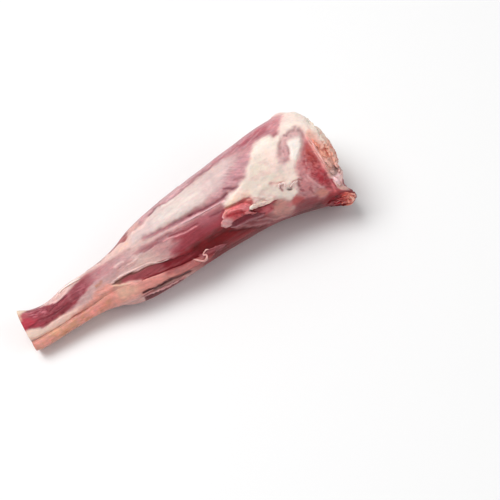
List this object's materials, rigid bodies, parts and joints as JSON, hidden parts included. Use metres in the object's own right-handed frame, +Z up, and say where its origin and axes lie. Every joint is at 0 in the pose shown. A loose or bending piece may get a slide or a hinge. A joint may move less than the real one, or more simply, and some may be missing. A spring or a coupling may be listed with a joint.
{
  "type": "raw mutton shank",
  "caption": "Raw mutton hind shank on the bone: lean meat under silverskin and a fat cover, a sawn thin end, a bared knuckle and a heel tendon with a torn strap.",
  "frame": {"origin": "middle of the object's box, on the plane that it lies on", "axes": "+X along the leg from the sawn thin end to the knuckle, +Z up, +Y towards the front edge of the shin"},
  "size_m": [0.2924, 0.0932, 0.0739],
  "materials": {
    "lean_meat": "moist raw lean meat under thin silverskin, with a cream fat cover towards the thick end",
    "bone": "sawn bone with a red marrow middle, and a smooth bluish white cartilage face on the knuckle",
    "tendon": "moist salmon pink tendon with fine lengthwise strands"
  },
  "bodies": {
    "root": {"shank_meat": "lean_meat", "leg_bone": "bone", "heel_tendon": "tendon"}
  },
  "joints": []
}
